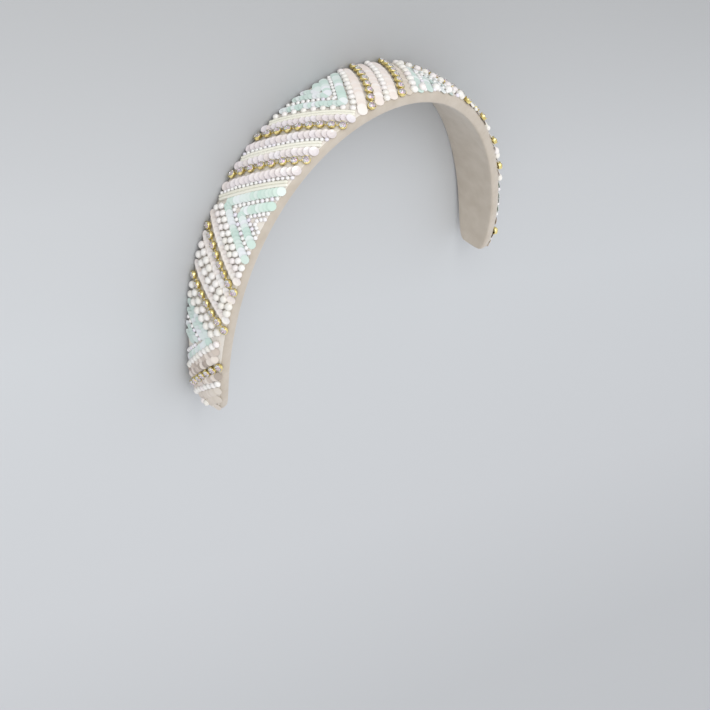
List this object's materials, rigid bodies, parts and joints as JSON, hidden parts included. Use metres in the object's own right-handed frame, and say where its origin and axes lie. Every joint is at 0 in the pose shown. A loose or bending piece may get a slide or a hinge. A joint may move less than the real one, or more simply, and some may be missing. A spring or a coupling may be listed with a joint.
{
  "type": "beaded headband",
  "caption": "Padded satin headband that tapers to its ends, its outer face covered with slanted rows of beads, sequins, pearls and gold rhinestone cup chain.",
  "frame": {"origin": "centre of the footprint, on the surface that it rests on", "axes": "the hoop lies on its rear side wall: +Z from the rear wall to the front wall, +Y from the open ends to the crown, X across the ends"},
  "size_m": [0.1776, 0.129, 0.0313],
  "materials": {
    "satin": "warm white satin, soft sheen",
    "gold": "bright gold plating",
    "bead": "pearl white, glossy",
    "sequin": "clear iridescent, faint pink",
    "mint": "pale mint, iridescent"
  },
  "bodies": {
    "root": {"padded_band": "satin", "chain_a": "gold", "chain_b1": "gold", "chain_b2": "gold", "chain_c1": "gold", "chain_c2": "gold", "chain_d1": "gold", "chain_d2": "gold", "chain_e1": "gold", "chain_e2": "gold", "chain_f1": "gold", "chain_f2": "gold", "chain_g": "gold", "tip_patch_a": "sequin", "bundle_a_low": "bead", "bundle_a_high": "bead", "mint_a": "mint", "bundle_b_low": "bead", "bundle_b_mid": "bead", "bundle_b_high": "bead", "mint_b": "mint", "bundle_c_low": "bead", "bundle_c_mid": "bead", "bundle_c_high": "bead", "mint_c": "mint", "bundle_d_low": "bead", "bundle_d_mid": "bead", "bundle_d_high": "bead", "mint_d": "mint", "bundle_e_low": "bead", "bundle_e_mid": "bead", "bundle_e_high": "bead", "mint_e": "mint", "bundle_f_low": "bead", "bundle_f_mid": "bead", "bundle_f_high": "bead", "mint_f": "mint", "bundle_g_low": "bead", "tip_patch_g": "sequin"}
  },
  "joints": []
}
